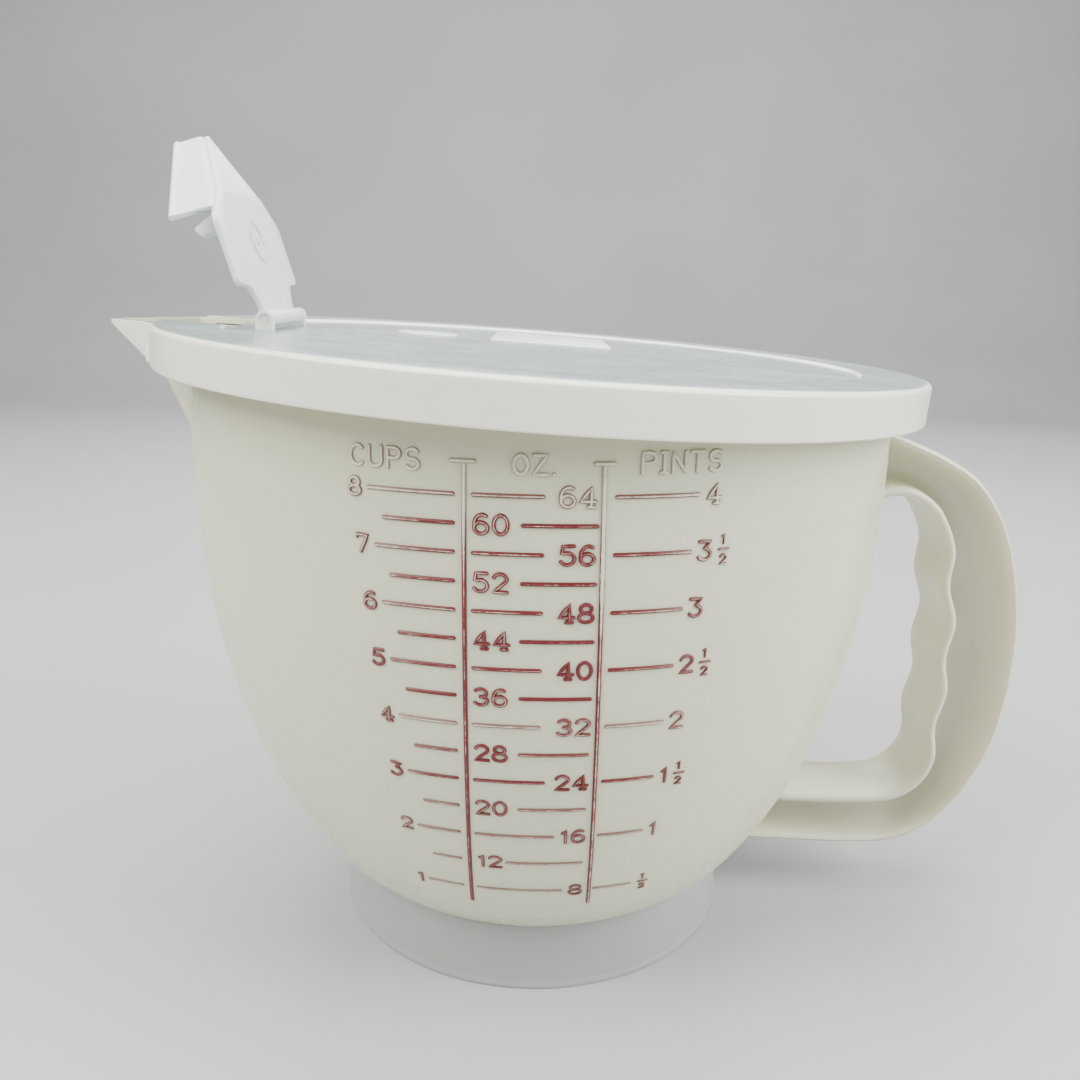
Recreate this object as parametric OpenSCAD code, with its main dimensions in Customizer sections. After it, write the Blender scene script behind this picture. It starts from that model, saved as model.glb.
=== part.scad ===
// Covered measuring and mixing pitcher: a bowl on a foot ring with a finger-grip
// handle, a lift-off lid with a pouring beak, and a hinged flip cap over the beak.
// Millimetres. Z is up, the foot stands on Z = 0, the handle points along +X,
// the beak along -X, and the graduations face -Y. The rim and the lid slope.

/* [Bowl] */
// Largest outer radius of the bowl, at its belly
bowl_radius = 83.4; // [75:0.1:92]
// Height of the belly above the table
belly_height = 119; // [105:0.5:130]
// Height of the half oval that shapes the bowl, from the belly down
bowl_oval = 126.5; // [118:0.5:140]
// Fullness of the bowl's curve: 2 is a plain oval, more is squarer
bowl_fullness = 2.15; // [2:0.01:2.6]
// Thickness of the bowl wall
wall = 2; // [1.4:0.1:3]
// Height of the top of the floor inside
floor_height = 13.6; // [13:0.1:17]
// Height of the rim at the bowl's axis
rim_height = 145; // [138:0.5:150]
// Angle the rim and the lid slope down towards the handle
rim_slope = 3.2; // [0:0.1:5]
// Outer radius of the rim flange under the lid
rim_radius = 88.2; // [86:0.1:96]
// Thickness of the rim flange
rim_thickness = 2.2; // [1.5:0.1:3]

/* [Foot] */
// Outer radius of the foot where it stands
foot_radius = 51.8; // [48:0.1:56]
// Inward taper of the foot ring over its height
foot_taper = 0.6; // [0:0.1:2]
// Thickness of the foot ring
foot_wall = 2; // [1.5:0.1:3]

/* [Spout under the lid] */
// Height where the spout starts to swell out of the bowl
spout_start = 113; // [105:0.5:120]
// Half angle of the spout's cone
spout_flare = 26; // [20:0.5:28]
// Angle the spout's cone leans back into the bowl
spout_lean = 5; // [2:0.5:8]

/* [Handle] */
// Farthest reach of the handle from the bowl's axis
handle_reach = 124.2; // [118:0.2:130]
// Half width of the two handle flanges
handle_half = 10.6; // [8:0.1:13]
// Thickness of the palm and finger flanges
flange = 2.4; // [1.8:0.1:3.2]
// Thickness of the web between the flanges
handle_web_t = 2.6; // [1.8:0.1:4]
// Depth of the finger grooves
groove_depth = 1.7; // [0:0.1:2.5]
// Spacing of the finger grooves
groove_pitch = 19.5; // [17:0.5:21]

/* [Graduations] */
// How far the graduations stand out of the bowl
mark_raise = 0.35; // [0.2:0.05:0.8]
// Height of the 8 ounce line above the table
first_line = 37.1; // [34:0.1:40]
// Thickness of a graduation line
line_width = 0.9; // [0.6:0.1:1.4]
// Distance of the left rule from the middle of the scale, along the bowl
left_rule = 13.1; // [11:0.1:15]
// Distance of the right rule from the middle of the scale, along the bowl
right_rule = 11.4; // [10:0.1:14]

/* [Lid] */
// Outer radius of the lid's skirt
lid_radius = 90.6; // [89.5:0.1:98]
// Thickness of the lid's skirt
skirt_wall = 1.7; // [1.2:0.1:2]
// Height of the lid's skirt below the rim
skirt_drop = 6.8; // [5:0.1:9]
// Thickness of the lid's raised edge above the rim
edge_rise = 2.1; // [1.6:0.1:3]
// Radius where the raised edge steps down to the panel
step_radius = 75.6; // [70:0.2:80]
// Step from the raised edge down to the panel
panel_step = 0.8; // [0.3:0.1:1]

/* [Beak and cap] */
// Distance of the beak's tip from the lid's middle
beak_reach = 106.8; // [103:0.1:110]
// Half width of the beak where it leaves the skirt
beak_half = 24; // [21:0.5:25]
// Length of the beak from that line to its tip
beak_run = 20.3; // [18:0.1:22]
// Height the beak's top edge falls from the skirt to its tip
beak_fall = 1.05; // [0:0.05:1.2]
// Distance of the hinge from the lid's middle
hinge_back = 64.3; // [62:0.1:67]
// Height of the hinge axis over the rim
hinge_rise = 3.9; // [3.7:0.1:4.4]
// Angle the cap stands open from the lid
cap_open = 70.3; // [30:0.1:109]
// Thickness of the cap plate
plate_t = 1.5; // [1.2:0.1:1.8]
// Half width of the cap's neck
neck_half = 13.8; // [12:0.1:16]
// Half width of the cap's wings
wing_half = 25; // [23.5:0.1:26]
// Distance from the hinge to the crease where the cap's point bends down
crease_run = 28.9; // [27:0.1:32]
// Angle the cap's point bends down at the crease
point_bend = 12; // [0:0.5:16]
// Depth of the cap's nose skirt under the plate
nose_drop = 10; // [6:0.1:10.5]
// Thickness of the nose skirt
nose_wall = 1; // [0.9:0.1:1.5]
// Outer radius of the hinge lugs on the lid
lug_r = 1.95; // [1.9:0.05:2.4]
// Radius of the hinge pin
pin_r = 1.2; // [1:0.05:1.3]
// Radial clearance of the hinge pin
pin_clearance = 0.05; // [0.02:0.01:0.1]

/* [Hidden] */
$fn = 96;

gap = 0.4;
embed = 0.3;
lid_gap = 0.3;
beak_top = edge_rise - 0.6;
beak_slope = beak_half / beak_run;
lug_long = 2.4;
pin_half = neck_half + gap + lug_long - 0.2;
round_fn = 180;
bowl_steps = 26;
bowl_base = 15.5;
floor_under = floor_height - wall;
rim_inner = bowl_radius - wall - 1.6;
oz_lines = 15;
line_growth = 13.95;
line_start = 0.93;
line_power = 0.738;
cream = [0.84, 0.83, 0.76];
pale = [0.88, 0.88, 0.83];
cool = [0.80, 0.84, 0.83];
red = [0.56, 0.17, 0.18];

// Oval radius at a height, for the outer face (inset 0) or a face inset into the wall.
function oval_r(z, inset) =
    (bowl_radius - inset) * pow(
        max(0, 1 - pow(abs(z - belly_height) / (bowl_oval - inset), bowl_fullness)),
        1 / bowl_fullness);

// Heights of the bowl's profile from one height to another.
function heights(low, high) =
    [for (i = [0:bowl_steps]) low + (high - low) * i / bowl_steps];

// Smooth curve through a list of points, with a number of steps in each span.
function blend(a, b, c, d, t) =
    0.5 * (2 * b + (c - a) * t + (2 * a - 5 * b + 4 * c - d) * t * t
        + (3 * b - a - 3 * c + d) * t * t * t);
function smooth(p, steps) = concat(
    [for (i = [0:len(p) - 2], k = [0:steps - 1])
        blend(p[max(i - 1, 0)], p[i], p[i + 1], p[min(i + 2, len(p) - 1)], k / steps)],
    [p[len(p) - 1]]);

// Unit normal of a path at one point, on its left side.
function side(p, i) =
    let (a = p[max(i - 1, 0)], b = p[min(i + 1, len(p) - 1)], d = b - a)
    [-d[1], d[0]] / norm(d);
function reversed(p) = [for (i = [len(p) - 1:-1:0]) p[i]];
function shifted(p, t) = [for (i = [0:len(p) - 1]) p[i] + side(p, i) * t];

// The frame of the sloping rim: its Z stands square to the rim.
module on_rim() {
    translate([0, 0, rim_height])
        rotate([0, rim_slope, 0])
            children();
}

// The frame of the flip cap as if it lay shut, turned open about its hinge.
module on_cap() {
    on_rim()
        translate([-hinge_back, 0, hinge_rise])
            rotate([0, cap_open, 0])
                children();
}

module ring(outer, inner, low, high, facets = round_fn) {
    rotate_extrude($fn = facets)
        translate([inner, low])
            square([outer - inner, high - low]);
}

// Everything above a height in the rim frame.
module above_rim(low) {
    on_rim()
        translate([-150, -150, low])
            cube([300, 300, 100]);
}

// Solid of the bowl's oval, inset by a distance, up past the rim.
module bowl_solid(inset, low, high) {
    hs = heights(low, high);
    rotate_extrude($fn = round_fn)
        polygon(concat([[0, low]], [for (z = hs) [oval_r(z, inset), z]], [[0, high]]));
}

// Cone of the pouring spout, grown outward by a distance.
module spout_cone(grow) {
    long = 52;
    lift = grow / sin(spout_flare);
    translate([0.4 - bowl_radius, 0, spout_start])
        rotate([0, spout_lean, 0])
            translate([0, 0, -lift])
                cylinder(h = long, r1 = 0, r2 = long * tan(spout_flare), $fn = 64);
}

module bowl_shell() {
    color(cream)
        difference() {
            union() {
                bowl_solid(0, bowl_base, rim_height + 8);
                translate([0, 0, floor_under])
                    cylinder(h = bowl_base - floor_under, r = oval_r(bowl_base, 0), $fn = round_fn);
            }
            bowl_solid(wall, floor_height, rim_height + 9);
            spout_cone(-wall);
            above_rim(-rim_thickness);
        }
}

module bowl_rim() {
    color(cream)
        difference() {
            on_rim()
                union() {
                    ring(rim_radius, rim_inner, -rim_thickness, 0);
                    rotate_extrude($fn = round_fn)
                        translate([rim_radius - 1, -rim_thickness])
                            circle(r = 0.9, $fn = 24);
                }
            spout_cone(-wall);
            bowl_solid(wall, floor_height, rim_height + 9);
        }
}

module pour_spout() {
    color(cream)
        difference() {
            spout_cone(0);
            spout_cone(-wall);
            bowl_solid(0, bowl_base, rim_height + 20);
            above_rim(-rim_thickness);
        }
}

module foot_ring() {
    color(pale)
        rotate_extrude($fn = round_fn)
            union() {
                polygon([
                    [foot_radius - foot_wall, 0],
                    [foot_radius - 0.3, 0],
                    [foot_radius, 0.4],
                    [foot_radius, 1.2],
                    [foot_radius - 0.25, 1.7],
                    [foot_radius - foot_taper, floor_under],
                    [foot_radius - foot_wall - foot_taper, floor_under]
                ]);
            }
}

// Outer line of the handle, from the rim round to the bowl's base.
palm_line = smooth([
    [76, 131.5], [88.4, 127.4], [98.5, 123.2], [107, 118.2], [113.2, 111.4],
    [118.4, 101.5], [handle_reach - 2.1, 88], [handle_reach, 70],
    [handle_reach - 1.6, 52], [handle_reach - 5.2, 38], [112.5, 26.4],
    [105, 19.6], [95, 16.2], [80, 15.9], [62, 16.6], [50, 17]
], 5);

// Inner line of the handle without its grooves, from the bowl round to the bowl.
finger_base = smooth([
    [78, 110.6], [86, 112.5], [91.5, 112.6], [97, 109.4], [101.2, 103],
    [103.4, 95], [105.2, 83], [105.9, 70], [105.6, 56], [105.6, 46],
    [104.4, 39], [100.6, 33.2], [94, 30.3], [80, 30], [60, 31]
], 5);
groove_top = 99.5;
groove_low = groove_top - 3 * groove_pitch;
finger_line = [for (p = finger_base)
    p[0] > 100 && p[1] < groove_top && p[1] > groove_low
        ? p - [groove_depth * (0.5 - 0.5 * cos(360 * (groove_top - p[1]) / groove_pitch)), 0]
        : p];

// Flat strip between a line and the same line shifted sideways.
module strip(line, t) {
    polygon(concat(line, reversed(shifted(line, t))));
}

// Upright slab cut from a flat shape drawn in X and Z.
module upright(half) {
    rotate([90, 0, 0])
        linear_extrude(height = 2 * half, center = true)
            children();
}

module handle_palm_flange() {
    color(cream)
        difference() {
            upright(handle_half)
                strip(palm_line, -flange);
            bowl_solid(embed, bowl_base - 6, rim_height + 9);
        }
}

module handle_finger_flange() {
    color(cream)
        difference() {
            upright(handle_half)
                strip(finger_line, flange);
            bowl_solid(embed, bowl_base - 6, rim_height + 9);
        }
}

module handle_web() {
    color(cream)
        difference() {
            upright(handle_web_t / 2)
                polygon(concat(
                    shifted(palm_line, -flange),
                    reversed(shifted(finger_line, flange))));
            bowl_solid(embed, bowl_base - 6, rim_height + 9);
        }
}

// Height of a graduation line, counted up from 8 ounces in steps of 4: the lines
// draw together as the bowl widens.
function line_z(i) =
    first_line + line_growth * (pow(i + line_start, line_power) - pow(line_start, line_power));

// Degrees along the bowl for a distance along its surface.
function arc_deg(z, s) = s / oval_r(z, 0) * 180 / PI;

// A raised line at a height, from one distance along the bowl to another.
module mark_line(z, from, to, thick) {
    r = oval_r(z, 0);
    a = arc_deg(z, from);
    b = arc_deg(z, to);
    rotate([0, 0, a - 90])
        rotate_extrude(angle = b - a, $fn = round_fn)
            polygon([
                [oval_r(z - thick / 2, 0) - embed, z - thick / 2],
                [oval_r(z - thick / 2, 0) + mark_raise, z - thick / 2],
                [oval_r(z + thick / 2, 0) + mark_raise, z + thick / 2],
                [oval_r(z + thick / 2, 0) - embed, z + thick / 2]
            ]);
}

// An upright rule: a narrow band that follows the bowl's curve.
module rule_line(at, half) {
    low = 31.5;
    high = 131.8;
    hs = heights(low, high);
    intersection() {
        difference() {
            rotate_extrude($fn = round_fn)
                polygon(concat(
                    [for (z = hs) [oval_r(z, 0) - embed, z]],
                    [for (z = reversed(hs)) [oval_r(z, 0) + mark_raise, z]]));
            translate([-120, 0, 0])
                cube([240, 120, 160]);
        }
        translate([at - half, -120, low - 1])
            cube([2 * half, 120, high - low + 2]);
    }
}

module scale_rules() {
    color(red) {
        rule_line(-left_rule, line_width / 2);
        rule_line(right_rule, line_width / 2);
        mark_line(132.2, -left_rule - 2.4, -left_rule + 2, line_width);
        mark_line(132.2, right_rule - 2, right_rule + 1.4, line_width);
    }
}

// Cup lines: long at whole cups, short at half cups, ending beside the left rule.
module cup_marks() {
    color(red)
        for (i = [0:oz_lines - 1]) {
            whole = i % 2 == 0;
            long = whole ? 15.9 - 0.6 * (14 - i) : 13 - 0.6 * (13 - i);
            mark_line(line_z(i), -15 - long, -15, line_width);
        }
}

// Ounce lines between the rules: left of the numeral, or right of it.
module ounce_marks() {
    color(red)
        for (i = [0:oz_lines - 1]) {
            whole = i % 2 == 0;
            low_end = whole ? -11.5 : -2.8 - max(0, 2 - i) * 2.4;
            high_end = whole ? 0.6 + max(0, 5 - i) * 1.1 : 10;
            mark_line(line_z(i), low_end, high_end, line_width);
        }
}

// Pint lines right of the right rule.
module pint_marks() {
    color(red)
        for (i = [0:2:oz_lines - 1])
            mark_line(line_z(i), 13.4, 21.4 + i * 0.5, line_width);
}

// Plan of the beak, from the skirt to its tip, inset square to its sides.
module beak_plan(inset, back) {
    tip = beak_reach - inset / sin(atan(beak_half / beak_run));
    span = tip - back;
    polygon([
        [-back, -span * beak_half / beak_run],
        [-tip, 0],
        [-back, span * beak_half / beak_run]
    ]);
}

// Plan of the pour opening in the lid: a wedge with its point at the beak.
module pour_plan(inset) {
    intersection() {
        beak_plan(inset, 60);
        translate([-beak_reach, -18.6 + inset])
            square([beak_reach - 72.5 - inset, 37.2 - 2 * inset]);
    }
}

// Clear room for the bowl's spout under the beak.
module spout_room() {
    translate([-79.8, 0, -20])
        cylinder(h = 20 + lid_gap, r = 18, $fn = 64);
}

module lid_panel() {
    color(cool)
        on_rim()
            difference() {
                union() {
                    rotate_extrude($fn = round_fn)
                        polygon([
                            [0, lid_gap], [lid_radius - skirt_wall, lid_gap],
                            [lid_radius - skirt_wall, edge_rise],
                            [step_radius, edge_rise],
                            [step_radius - panel_step, edge_rise - panel_step],
                            [0, edge_rise - panel_step]
                        ]);
                }
                translate([0, 0, -1])
                    linear_extrude(height = edge_rise + 2)
                        pour_plan(1.5);
            }
}

module lid_skirt() {
    color(pale)
        on_rim()
            difference() {
                rotate_extrude($fn = round_fn)
                    polygon([
                        [lid_radius - skirt_wall, -skirt_drop],
                        [lid_radius, -skirt_drop],
                        [lid_radius, edge_rise - 1.6],
                        [lid_radius - 0.3, edge_rise - 0.8],
                        [lid_radius - 0.8, edge_rise - 0.25],
                        [lid_radius - skirt_wall, edge_rise]
                    ]);
                translate([0, 0, -skirt_drop - 1])
                    linear_extrude(height = skirt_drop + edge_rise + 2)
                        beak_plan(0, 60);
            }
}

module lid_seal_ring() {
    color(cool)
        on_rim()
            difference() {
                ring(78.6, 77.2, -4, lid_gap);
                translate([-120, -20, -5])
                    cube([60, 40, 6]);
            }
}

// Flat plane that rises from the foot of the skirt to the beak's tip, and all below it.
module below_hull(lift) {
    steep = atan(7.2 / 18.3);
    translate([-beak_reach, 0, lift])
        rotate([0, steep, 0])
            translate([-60, -60, -60])
                cube([120, 120, 60]);
}

// Everything above the beak's top edge, which falls towards its tip.
module above_beak() {
    long = 14.8;
    translate([long - beak_reach, 0, beak_top])
        rotate([0, -atan(beak_fall / long), 0])
            translate([-40, -60, 0])
                cube([40, 120, 20]);
}

module lid_beak() {
    color(pale)
        on_rim()
            difference() {
                translate([0, 0, -skirt_drop])
                    linear_extrude(height = skirt_drop + beak_top)
                        beak_plan(0, 74);
                above_beak();
                below_hull(-0.4);
                spout_room();
                translate([0, 0, -skirt_drop - 1])
                    cylinder(h = 30, r = lid_radius - skirt_wall, $fn = round_fn);
                difference() {
                    translate([0, 0, -skirt_drop - 1])
                        linear_extrude(height = skirt_drop + edge_rise + 2)
                            pour_plan(1.5);
                    below_hull(1.2);
                }
            }
}

// Plain raised panels on the far half of the lid.
module lid_pads() {
    color(pale)
        on_rim()
            translate([0, 0, edge_rise - panel_step]) {
                translate([-14, 14, 0])
                    cube([32, 44, 0.5]);
                translate([-31, 22, 0])
                    cylinder(h = 0.5, r = 8, $fn = 48);
            }
}

// One hinge lug on the lid: a rounded ear with the pin's bore.
module hinge_lug() {
    on_rim()
        translate([-hinge_back, neck_half + gap, 0])
            difference() {
                union() {
                    translate([-lug_r, 0, edge_rise - panel_step])
                        cube([2 * lug_r, lug_long, hinge_rise - edge_rise + panel_step]);
                    translate([0, lug_long, hinge_rise])
                        rotate([90, 0, 0])
                            cylinder(h = lug_long, r = lug_r, $fn = 48);
                }
                translate([0, lug_long + 1, hinge_rise])
                    rotate([90, 0, 0])
                        cylinder(h = lug_long + 2, r = pin_r + pin_clearance, $fn = 48);
            }
}

module hinge_lug_left() {
    color(pale)
        hinge_lug();
}

module hinge_lug_right() {
    color(pale)
        mirror([0, 1, 0])
            hinge_lug();
}

// The cap's own drawing runs along -X from the hinge, with the plate's underside low.
plate_low = 2.5 - hinge_rise;
plate_top = plate_low + plate_t;
shoulder_run = 8;
wing_run = 22.7;
nose_back = 23.8;
tip_run = beak_reach - hinge_back + nose_wall / sin(atan(beak_slope)) + 0.35;
point_half = (tip_run - crease_run) * beak_slope - 0.6;
point_run = (tip_run - 0.5 - crease_run) / cos(point_bend);

// The plane of the cap's bent point: its origin is the crease, on top of the plate.
module on_point() {
    translate([-crease_run, 0, plate_top])
        rotate([0, -point_bend, 0])
            children();
}

// The room the bent point takes and all above it, cut from the walls under it.
module above_point() {
    on_point()
        translate([-30, -30, -plate_t])
            cube([30.9, 60, 30]);
}

module cap_outline() {
    neck = neck_half - 0.2;
    polygon([
        [-1, neck], [-3.2, neck], [-shoulder_run + 0.6, neck + 3],
        [-shoulder_run, wing_half - 1.2], [-shoulder_run - 1, wing_half],
        [-wing_run, wing_half], [-crease_run, point_half],
        [-crease_run, -point_half], [-wing_run, -wing_half],
        [-shoulder_run - 1, -wing_half], [-shoulder_run, -wing_half + 1.2],
        [-shoulder_run + 0.6, -neck - 3], [-3.2, -neck], [-1, -neck]
    ]);
}

module cap_plate() {
    color(cool)
        on_cap()
            difference() {
                union() {
                    translate([0, 0, plate_low])
                        linear_extrude(height = plate_t)
                            cap_outline();
                    on_point()
                        translate([0, 0, -plate_t])
                            linear_extrude(height = plate_t)
                                polygon([[0, -point_half], [-point_run, 0], [0, point_half]]);
                    translate([0, neck_half - 0.2, 0])
                        rotate([90, 0, 0])
                            cylinder(h = 2 * neck_half - 0.4, r = 1.8, $fn = 48);
                }
                translate([0, neck_half + 1, 0])
                    rotate([90, 0, 0])
                        cylinder(h = 2 * neck_half + 2, r = pin_r, $fn = 48);
            }
}

// Wedge-shaped wall strip in plan, following the cap's point.
module wedge_strip(tip, run, thick) {
    inner = tip - thick / sin(atan(beak_slope));
    difference() {
        polygon([[-tip + run, -run * beak_slope], [-tip, 0], [-tip + run, run * beak_slope]]);
        polygon([
            [-tip + run + 1, -(inner - tip + run + 1) * beak_slope],
            [-inner, 0],
            [-tip + run + 1, (inner - tip + run + 1) * beak_slope]
        ]);
    }
}

module cap_nose() {
    color(cool)
        on_cap()
            difference() {
                translate([0, 0, plate_low - nose_drop])
                    linear_extrude(height = nose_drop)
                        wedge_strip(tip_run, tip_run - nose_back, nose_wall);
                above_point();
            }
}

// Wedge under the cap that dips into the spout's mouth: deep at its two back
// corners, shallow at its point.
module cap_plug() {
    back = 21.5;
    color(cool)
        on_cap()
            difference() {
                intersection() {
                    translate([0, 0, plate_low - 10])
                        linear_extrude(height = 10)
                            wedge_strip(back + 10.1, 10.1, 1.2);
                    upright(20)
                        polygon([
                            [-back - 4, plate_low], [-back, -8.4], [-back - 2.1, -10.8],
                            [-back - 5.5, -4.1], [-tip_run, -4.1], [-tip_run, plate_low]
                        ]);
                }
                above_point();
            }
}

module cap_ring() {
    color(pale)
        on_cap()
            translate([-18.4, 0, plate_top]) {
                rotate_extrude($fn = 64)
                    translate([4, 0])
                        square([1, 0.4]);
                cylinder(h = 0.4, r = 1.1, $fn = 32);
            }
}

module hinge_pin() {
    color(pale)
        on_cap()
            translate([0, pin_half, 0])
                rotate([90, 0, 0])
                    cylinder(h = 2 * pin_half, r = pin_r, $fn = 48);
}

bowl_shell();
bowl_rim();
pour_spout();
foot_ring();
handle_web();
handle_palm_flange();
handle_finger_flange();
scale_rules();
cup_marks();
ounce_marks();
pint_marks();
lid_panel();
lid_skirt();
lid_seal_ring();
lid_beak();
lid_pads();
hinge_lug_left();
hinge_lug_right();
cap_plate();
cap_nose();
cap_plug();
cap_ring();
hinge_pin();
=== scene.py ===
"""Looks of the covered measuring pitcher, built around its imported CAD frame."""
import math

import bmesh
import bpy
import numpy as np
from mathutils import Matrix, Vector


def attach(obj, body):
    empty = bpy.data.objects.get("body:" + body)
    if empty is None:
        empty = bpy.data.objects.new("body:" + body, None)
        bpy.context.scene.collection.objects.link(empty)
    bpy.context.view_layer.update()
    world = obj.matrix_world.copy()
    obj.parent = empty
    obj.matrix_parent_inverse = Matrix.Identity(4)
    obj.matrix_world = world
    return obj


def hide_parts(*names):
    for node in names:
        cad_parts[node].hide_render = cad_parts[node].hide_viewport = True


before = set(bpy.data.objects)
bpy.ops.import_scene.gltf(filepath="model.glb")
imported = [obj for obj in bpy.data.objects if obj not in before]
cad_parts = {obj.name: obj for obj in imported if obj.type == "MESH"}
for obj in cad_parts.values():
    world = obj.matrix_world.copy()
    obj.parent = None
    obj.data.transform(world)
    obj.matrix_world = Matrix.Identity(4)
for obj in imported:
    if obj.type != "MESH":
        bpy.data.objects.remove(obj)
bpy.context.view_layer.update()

MM = 0.001

# ---------------------------------------------------------------- sizes
# In mm and, unless a note says otherwise, the sizes of the CAD part.
BOWL_R = 83.4
BELLY_Z = 119.0
OVAL_H = 126.5
FULLNESS = 2.15
WALL = 2.0
FLOOR_Z = 13.6
FLOOR_UNDER = FLOOR_Z - WALL
RIM_Z = 145.0
SLOPE = math.radians(3.2)
RIM_R = 88.2
RIM_T = 2.2
FOOT_R = 51.8
FOOT_WALL = 2.0
FOOT_TAPER = 0.6
SEAM_Z = 17.4
FILLET_Z = 24.0
SPOUT_START = 113.0
SPOUT_FLARE = math.radians(26)
SPOUT_LEAN = math.radians(5)
LID_R = 90.6
SKIRT_WALL = 1.7
SKIRT_DROP = 6.8
EDGE_RISE = 2.1
LID_GAP = 0.3
ROOM_X = -79.8
ROOM_R = 18.0
STEP_R = 75.6
PANEL_STEP = 0.8
BEAK_REACH = 106.8
BEAK_HALF = 24.0
BEAK_RUN = 20.3
BEAK_SLOPE = BEAK_HALF / BEAK_RUN
HULL_STEEP = 7.2 / 18.3
HULL_LIFT = -0.4
BEAK_TOP = EDGE_RISE - 0.6
BEAK_FALL = 1.05
BEAK_WALL = 1.5
BEAK_BACK = BEAK_REACH - 14.8
BEAK_COS = math.cos(math.radians(22))
# A small rib down each side of the beak at its root. The CAD has none.
ROOT_RIB = 1.1
ROOT_RIB_DEG = 16.4
ROOT_RIB_WIDE = 0.9
HINGE_BACK = 64.3
HINGE_RISE = 3.9
CAP_OPEN = math.radians(70.3)
PLATE_LOW = 2.5 - HINGE_RISE
PLATE_T = 1.5
PLATE_TOP = PLATE_LOW + PLATE_T
NECK_HALF = 13.6
WING_HALF = 25.0
WING_RUN = 22.7
# The CAD has 23.8. There the shut nose cuts the lid's mesh, with or without the rib; 25.4 is clear.
NOSE_BACK = 25.4
CREASE_RUN = 28.9
CREASE_HALF = 16.6
POINT_BEND = math.radians(12)
# 0.2 less than in the CAD.
NOSE_DROP = 9.8
NOSE_WALL = 1.0
TIP_GAP = 0.35
TIP_RUN = BEAK_REACH - HINGE_BACK + NOSE_WALL / math.sin(math.atan(BEAK_SLOPE)) + TIP_GAP
PLUG_BACK = 21.5
PLUG_LONG = 10.1
PLUG_WALL = 1.2
PLUG_SHALLOW = -4.15
BARREL_R = 1.8
HANDLE_HALF = 10.6
FLANGE = 2.4
WEB_HALF = 1.3
GROOVE = 1.7
GROOVE_PITCH = 19.5
GROOVE_TOP = 99.5
PAD_RISE = 0.5
PAD_DISC_X = -31.0
PAD_DISC_Y = 22.0
PAD_DISC_R = 8.0

# ---------------------------------------------------------------- sizes of the scale, in mm
# Distances along the bowl are counted from the middle of its front, to the right.
ROWS = 15
RULE_LEFT = -13.1
RULE_RIGHT_LOW = 12.3
RULE_RIGHT_TOP = 11.0
RULE_LOW = 31.5
RULE_TOP = 131.6
RULE_BAR_Z = 132.2
RULE_WIDE = 0.95
LINE_WIDE = 0.86
DIGIT_WIDE = 0.82
SMALL_WIDE = 0.5
CUP_TALL = 3.9
DIGIT_TALL = 4.2
HALF_TALL = 2.2
HEAD_TALL = 4.3
LETTER_GAP = 0.20


# ---------------------------------------------------------------- shape helpers
def smax(a, b, k):
    """The larger of two numbers, with a soft corner k wide."""
    return 0.5 * (a + b + math.sqrt((a - b) ** 2 + k * k))


def smin(a, b, k):
    """The smaller of two numbers, with a soft corner k wide."""
    return 0.5 * (a + b - math.sqrt((a - b) ** 2 + k * k))


def lerp(a, b, t):
    return a + (b - a) * t


def ease(t):
    t = min(1.0, max(0.0, t))
    return t * t * (3 - 2 * t)


def oval(z, inset=0.0):
    """Radius of the bowl's face at a height; inset moves it into the wall."""
    t = abs(z - BELLY_Z) / (OVAL_H - inset)
    return (BOWL_R - inset) * max(0.0, 1 - t ** FULLNESS) ** (1 / FULLNESS)


def spout_reach(z, phi, inset=0.0):
    """How far the spout's cone reaches from the bowl's axis, or 0 where it doesn't."""
    up = z - SPOUT_START - inset / math.sin(SPOUT_FLARE)
    if up <= 0:
        return 0.0
    mid = 0.4 - BOWL_R + (z - SPOUT_START) * math.tan(SPOUT_LEAN)
    rad = up * math.tan(SPOUT_FLARE) / math.cos(SPOUT_LEAN)
    under = rad * rad - (mid * math.sin(phi)) ** 2
    if under <= 0 or math.cos(phi) > 0:
        return 0.0
    return mid * math.cos(phi) + math.sqrt(under)


def wall_r(z, phi, inset=0.0):
    """Outer (or inset) radius of the bowl with its spout."""
    r = oval(z, inset)
    reach = spout_reach(z, phi, inset)
    if reach > r - 6:
        r = smax(r, reach, 1.6)
    return r


def rim_point(R, phi, w):
    """A point given in the frame of the sloping rim, brought to the row frame."""
    x, y = R * math.cos(phi), R * math.sin(phi)
    return rim_xyz(x, y, w)


def rim_xyz(x, y, w):
    return (
        x * math.cos(SLOPE) + w * math.sin(SLOPE),
        y,
        RIM_Z - x * math.sin(SLOPE) + w * math.cos(SLOPE),
    )


def cap_xyz(run, y, h):
    """A point of the cap: run from the hinge towards the tip, y across, h above the hinge."""
    xr = h * math.sin(CAP_OPEN) - run * math.cos(CAP_OPEN)
    hr = h * math.cos(CAP_OPEN) + run * math.sin(CAP_OPEN)
    return rim_xyz(xr - HINGE_BACK, y, hr + HINGE_RISE)


def catmull(points, steps):
    """A smooth curve through points, steps to each span."""
    pts = [np.array(p, float) for p in points]
    out = []
    for i in range(len(pts) - 1):
        a, b = pts[max(i - 1, 0)], pts[i]
        c, d = pts[i + 1], pts[min(i + 2, len(pts) - 1)]
        for k in range(steps):
            t = k / steps
            out.append(
                0.5 * (2 * b + (c - a) * t + (2 * a - 5 * b + 4 * c - d) * t * t
                       + (3 * b - a - 3 * c + d) * t ** 3)
            )
    out.append(pts[-1])
    return out


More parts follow.
